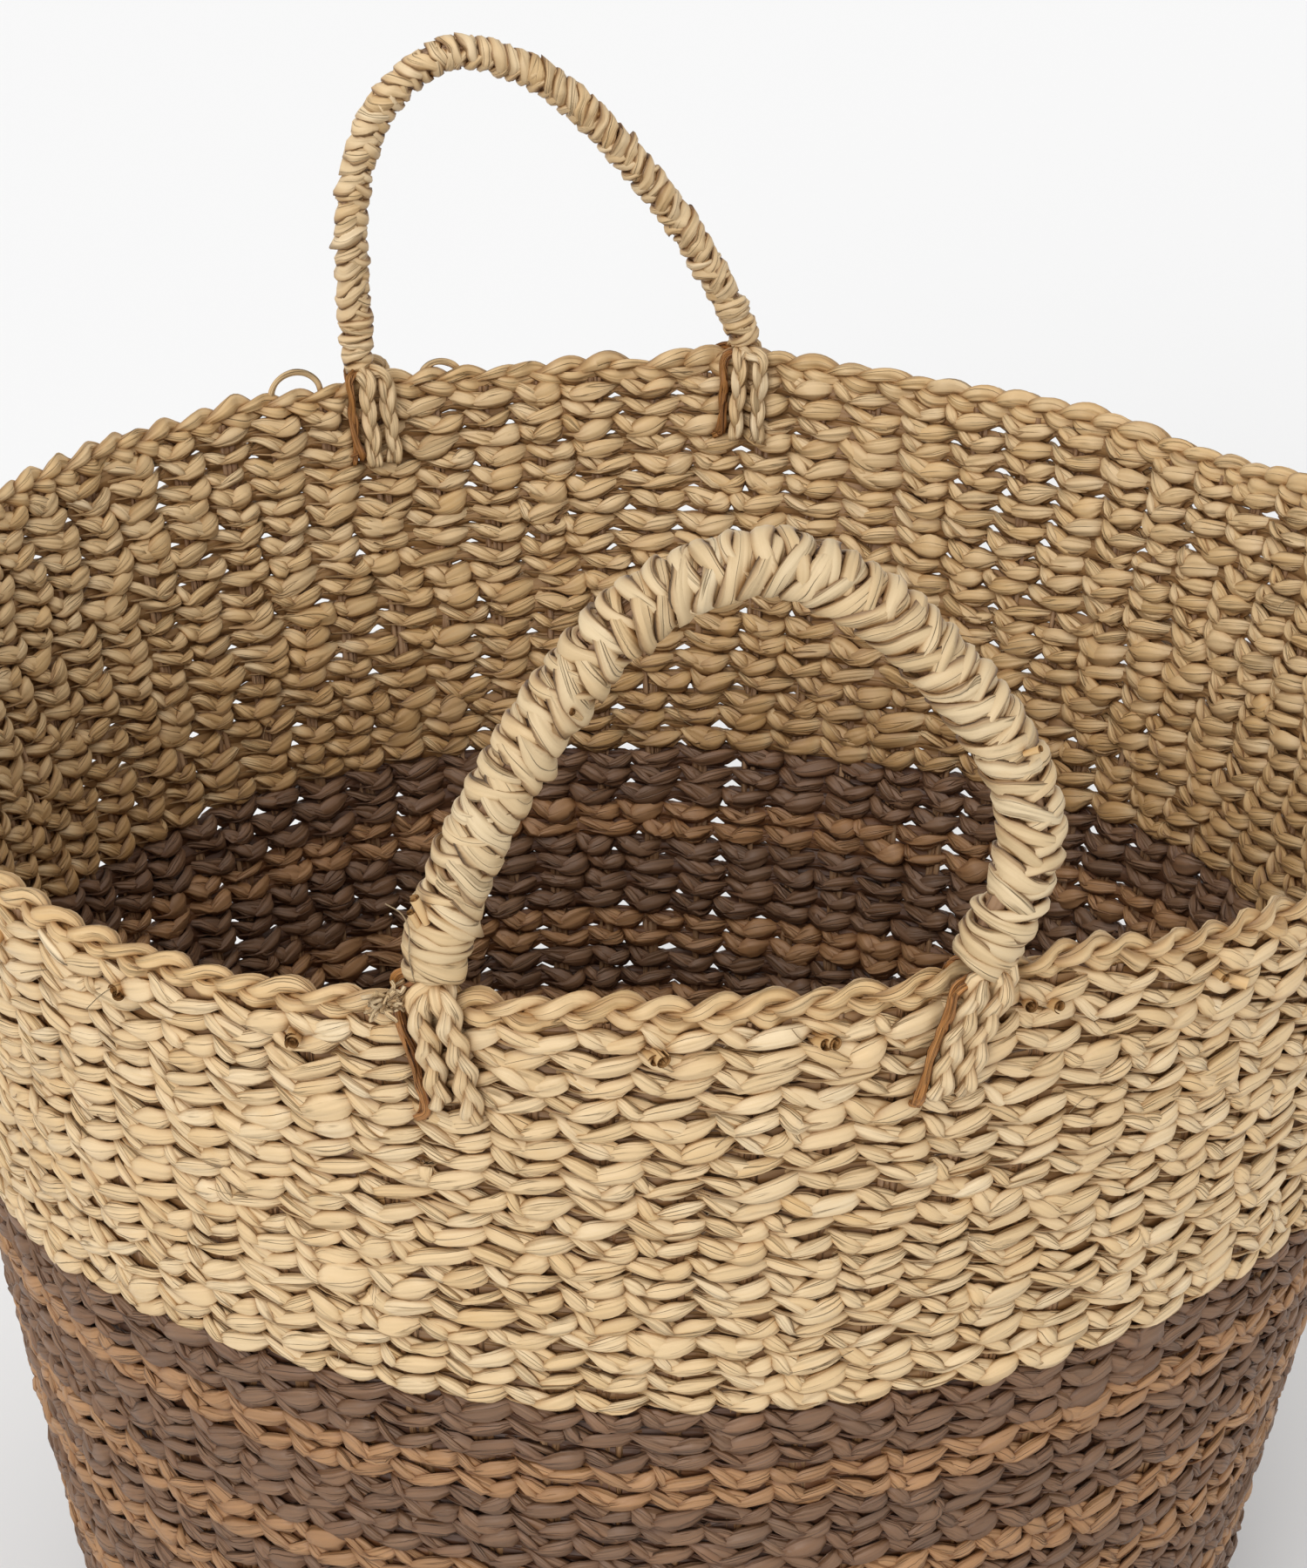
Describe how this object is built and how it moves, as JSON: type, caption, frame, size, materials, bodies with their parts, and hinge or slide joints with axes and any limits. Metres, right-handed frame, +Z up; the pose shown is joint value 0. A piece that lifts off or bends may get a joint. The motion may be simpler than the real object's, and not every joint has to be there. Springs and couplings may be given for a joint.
{
  "type": "woven storage basket",
  "caption": "Round tapered seagrass storage basket with an open top, a plaited rim and wrapped hoop handles that tilt.",
  "frame": {"origin": "centre of the underside, on the surface that the basket stands on", "axes": "+Z up through the open top, -Y towards the front handle, +Y towards the back handle, +X to the right seen from the front"},
  "size_m": [0.5599, 0.5612, 0.5401],
  "materials": {
    "natural_seagrass": "matte twisted leaf",
    "handle_seagrass": "matte folded leaf",
    "brown_seagrass": "matte twisted leaf",
    "dark_seagrass": "matte twisted leaf",
    "stake_fibre": "matte raw fibre",
    "brown_fibre": "matte raw fibre"
  },
  "bodies": {
    "basket": {"warp_stakes": "stake_fibre", "base_start_disc": "dark_seagrass", "base_rows": "dark_seagrass", "heel_rows": "dark_seagrass", "upper_natural": "natural_seagrass", "dark_band_1": "dark_seagrass", "brown_stripe_1": "brown_seagrass", "dark_band_2": "dark_seagrass", "brown_stripe_2": "brown_seagrass", "dark_band_3": "dark_seagrass", "brown_stripe_3": "brown_seagrass", "dark_band_4": "dark_seagrass", "brown_stripe_4": "brown_seagrass", "dark_band_5": "dark_seagrass", "border_row": "natural_seagrass", "rim_braid": "natural_seagrass", "cut_leaf_ends": "natural_seagrass", "front_left_outer_plait_1": "natural_seagrass", "front_left_outer_plait_2": "natural_seagrass", "front_left_inner_plait_1": "natural_seagrass", "front_left_inner_plait_2": "natural_seagrass", "front_right_outer_plait_1": "natural_seagrass", "front_right_outer_plait_2": "natural_seagrass", "front_right_inner_plait_1": "natural_seagrass", "front_right_inner_plait_2": "natural_seagrass", "back_left_outer_plait_1": "natural_seagrass", "back_left_outer_plait_2": "natural_seagrass", "back_left_inner_plait_1": "natural_seagrass", "back_left_inner_plait_2": "natural_seagrass", "back_right_outer_plait_1": "natural_seagrass", "back_right_outer_plait_2": "natural_seagrass", "back_right_inner_plait_1": "natural_seagrass", "back_right_inner_plait_2": "natural_seagrass", "front_left_fibre_tie": "brown_fibre", "front_right_fibre_tie": "brown_fibre", "back_left_fibre_tie": "brown_fibre", "back_right_fibre_tie": "brown_fibre"},
    "front_handle": {"front_handle_core": "stake_fibre", "front_handle_wrap": "handle_seagrass", "front_handle_left_cuff": "handle_seagrass", "front_handle_right_cuff": "handle_seagrass"},
    "back_handle": {"back_handle_core": "stake_fibre", "back_handle_wrap": "handle_seagrass", "back_handle_left_cuff": "handle_seagrass", "back_handle_right_cuff": "handle_seagrass"}
  },
  "joints": [
    {"name": "front_handle_tilt", "type": "hinge", "parent": "basket", "child": "front_handle", "pos_m": [-0.01589, -0.26352, 0.4115], "axis": [0.9982, -0.0602, 0], "range_deg": [-75, 75]},
    {"name": "back_handle_tilt", "type": "hinge", "parent": "basket", "child": "back_handle", "pos_m": [-0.01589, 0.26352, 0.4085], "axis": [-0.9982, -0.0602, 0], "range_deg": [-75, 75]}
  ]
}
